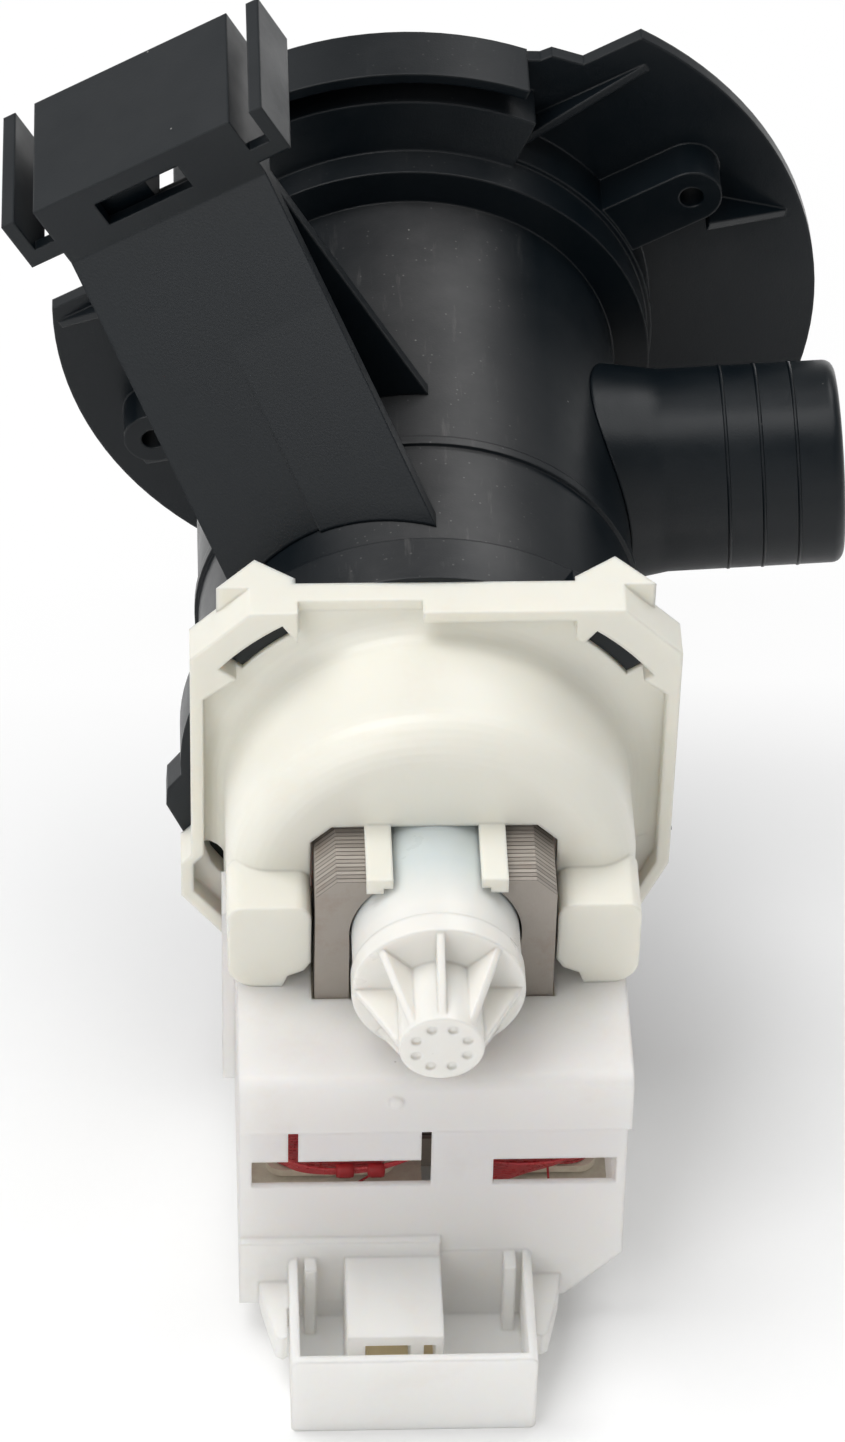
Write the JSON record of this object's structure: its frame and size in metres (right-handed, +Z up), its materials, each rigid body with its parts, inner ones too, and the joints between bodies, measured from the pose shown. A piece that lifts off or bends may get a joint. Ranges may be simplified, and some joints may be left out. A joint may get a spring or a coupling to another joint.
{
  "type": "washing machine drain pump",
  "caption": "Drain pump with flanged filter tube, side inlet, bracket arm, wet-rotor motor with twin coils, plug receptacle and removable lint filter.",
  "frame": {"origin": "on the pump axis, at the front face of the flange", "axes": "+Y along the pump axis out of the flange front, the way the filter is drawn out; +X to the inlet side; +Z up as the part lies on its flange edge and plug receptacle"},
  "size_m": [0.1489, 0.2142, 0.1722],
  "materials": {
    "black_plastic": "satin moulded",
    "cream_plastic": "satin moulded",
    "white_plastic": "satin moulded",
    "can_plastic": "smooth moulded",
    "tan_plastic": "matt",
    "impeller_plastic": "matt",
    "filter_plastic": "satin moulded",
    "red_sleeve": "matt",
    "enamel_wire": "enamelled copper",
    "lamination_steel": "raw sheet edges",
    "terminal_brass": "tinned",
    "shaft_steel": "ground",
    "magnet_ferrite": "matt",
    "bearing_carbon": "matt",
    "seal_rubber": "matt"
  },
  "bodies": {
    "pump_body": {"pump_housing": "black_plastic", "bracket_arm": "black_plastic", "inlet_pipe": "black_plastic", "outlet_pipe": "black_plastic", "chamber_seal": "seal_rubber", "motor_plate": "cream_plastic", "rotor_can": "can_plastic", "stator_core": "lamination_steel", "left_bobbin": "tan_plastic", "right_bobbin": "tan_plastic", "left_coil": "enamel_wire", "right_coil": "enamel_wire", "left_winding": "enamel_wire", "right_winding": "enamel_wire", "coil_cover": "white_plastic", "left_terminal": "terminal_brass", "right_terminal": "terminal_brass", "thermal_cutout": "red_sleeve", "bearing_holder": "cream_plastic", "front_bearing_cup": "seal_rubber", "rear_bearing_cup": "seal_rubber", "front_bearing": "bearing_carbon", "rear_bearing": "bearing_carbon", "shaft_seal": "seal_rubber"},
    "rotor": {"rotor_shaft": "shaft_steel", "rotor_magnet": "magnet_ferrite", "thrust_washer": "can_plastic", "drive_dog": "can_plastic"},
    "impeller": {"impeller": "impeller_plastic"},
    "filter_slide": {"filter_seal": "seal_rubber"},
    "filter": {"filter_cap": "filter_plastic", "filter_basket": "filter_plastic", "basket_tail": "filter_plastic"}
  },
  "joints": [
    {"name": "rotor_spin", "type": "hinge", "parent": "pump_body", "child": "rotor", "pos_m": [0, -0.15, 0], "axis": [0, 1, 0], "continuous": true},
    {"name": "impeller_slack", "type": "hinge", "parent": "rotor", "child": "impeller", "pos_m": [0, -0.106, 0], "axis": [0, 1, 0], "range_deg": [-115, 115]},
    {"name": "filter_pull", "type": "slide", "parent": "pump_body", "child": "filter_slide", "axis": [0, 1, 0], "range_m": [0, 0.095]},
    {"name": "filter_turn", "type": "hinge", "parent": "filter_slide", "child": "filter", "pos_m": [0, -0.008, 0], "axis": [0, 1, 0], "range_deg": [0, 360]}
  ]
}
